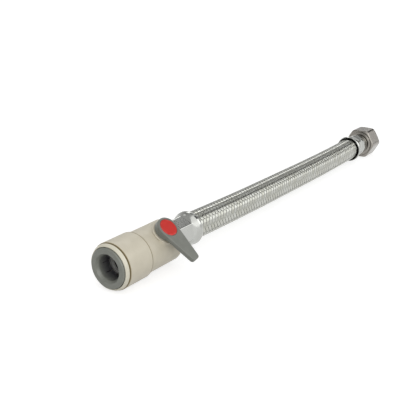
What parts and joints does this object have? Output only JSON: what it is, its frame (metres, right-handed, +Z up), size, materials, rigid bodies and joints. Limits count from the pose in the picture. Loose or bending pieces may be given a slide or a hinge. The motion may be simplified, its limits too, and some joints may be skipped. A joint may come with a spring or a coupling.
{
  "type": "flexible tap connector with service valve",
  "caption": "Straight braided steel hose with a push-fit lever isolating valve on one end and a hexagonal swivel nut on the other.",
  "frame": {"origin": "middle of the footprint, on the surface that the part lies on", "axes": "+X along the hose from the push-fit socket to the swivel nut, +Z up, the lever leans towards -Y"},
  "size_m": [0.357, 0.0452, 0.0334],
  "materials": {
    "beige_plastic": "moulded, satin",
    "grey_plastic": "moulded, satin",
    "red_plastic": "moulded, glossy",
    "white_plastic": "moulded, waxy",
    "black_rubber": "matt",
    "brass": "turned",
    "chromed_brass": "mirror",
    "nickel_plate": "nickel plate, satin bright",
    "polished_steel": "pressed stainless, bright",
    "steel_braid": "braided stainless wire"
  },
  "bodies": {
    "valve_and_hose": {"cap_ring": "beige_plastic", "socket_housing": "beige_plastic", "spacer_washer": "white_plastic", "pipe_seal": "black_rubber", "valve_body": "beige_plastic", "inlet_seat": "white_plastic", "outlet_seat": "white_plastic", "valve_tail": "brass", "tail_seal": "black_rubber", "valve_ferrule": "polished_steel", "inner_hose": "black_rubber", "steel_braid": "steel_braid", "nut_ferrule": "polished_steel", "nut_tail": "nickel_plate"},
    "collet": {"release_collet": "grey_plastic", "collet_tooth_1": "polished_steel", "collet_tooth_2": "polished_steel", "collet_tooth_3": "polished_steel", "collet_tooth_4": "polished_steel", "collet_tooth_5": "polished_steel", "collet_tooth_6": "polished_steel", "collet_tooth_7": "polished_steel", "collet_tooth_8": "polished_steel"},
    "handle": {"ball": "chromed_brass", "stem": "brass", "stem_washer": "white_plastic", "stem_seal": "black_rubber", "lever": "grey_plastic", "lever_screw": "polished_steel", "colour_disc": "red_plastic"},
    "nut": {"swivel_nut": "nickel_plate", "nut_washer": "black_rubber"}
  },
  "joints": [
    {"name": "lever_turn", "type": "hinge", "parent": "valve_and_hose", "child": "handle", "pos_m": [-0.1389, 0.00839, 0.0142], "axis": [0, 0.6455, -0.7638], "range_deg": [0, 95]},
    {"name": "collet_press", "type": "slide", "parent": "valve_and_hose", "child": "collet", "axis": [1, 0, 0], "range_m": [0, 0.002]},
    {"name": "nut_swivel", "type": "hinge", "parent": "valve_and_hose", "child": "nut", "pos_m": [0.1705, 0.00839, 0.012], "axis": [1, 0, 0], "continuous": true}
  ]
}
